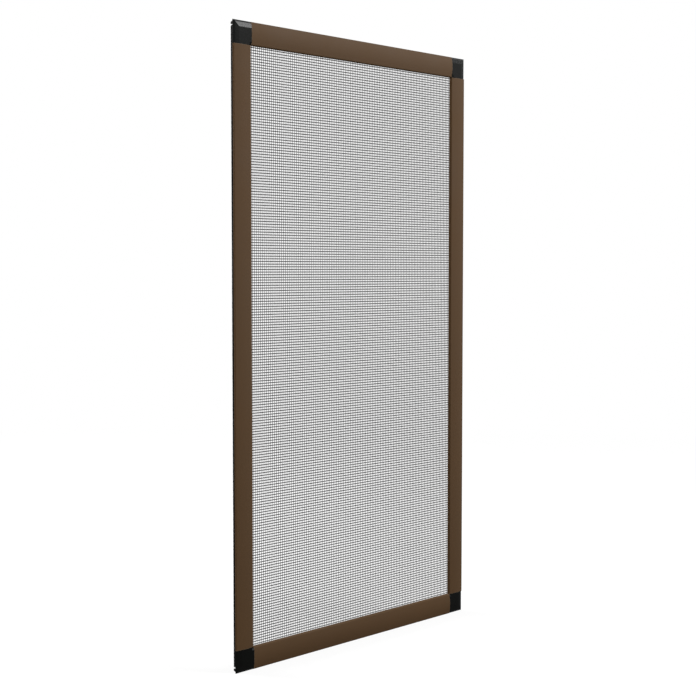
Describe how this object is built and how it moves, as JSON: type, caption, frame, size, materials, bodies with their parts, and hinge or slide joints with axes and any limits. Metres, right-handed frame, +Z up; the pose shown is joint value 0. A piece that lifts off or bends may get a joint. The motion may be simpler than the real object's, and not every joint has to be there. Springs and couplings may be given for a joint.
{
  "type": "window insect screen",
  "caption": "Tall rectangular insect screen for a window: slim brown coated frame with black corner connectors around a dark woven mesh.",
  "frame": {"origin": "middle of the bottom edge, half way through the depth", "axes": "+Z up along the height, +Y from the crowned front face to the rear, +X to the right as seen from the front"},
  "size_m": [0.385, 0.0065, 0.7],
  "materials": {
    "coated_aluminium": "brown powder coat, satin",
    "black_plastic": "fine moulded texture",
    "netting": "plain woven coated yarn",
    "spline_cord": "matte extruded cord",
    "seal_pile": "short upright pile"
  },
  "bodies": {
    "root": {"left_stile": "coated_aluminium", "top_rail": "coated_aluminium", "right_stile": "coated_aluminium", "bottom_rail": "coated_aluminium", "corner_bottom_left": "black_plastic", "corner_top_left": "black_plastic", "corner_top_right": "black_plastic", "corner_bottom_right": "black_plastic", "insect_mesh": "netting", "spline_left": "spline_cord", "spline_top": "spline_cord", "spline_right": "spline_cord", "spline_bottom": "spline_cord", "pile_seal_left": "seal_pile", "pile_seal_top": "seal_pile", "pile_seal_right": "seal_pile", "pile_seal_bottom": "seal_pile"}
  },
  "joints": []
}
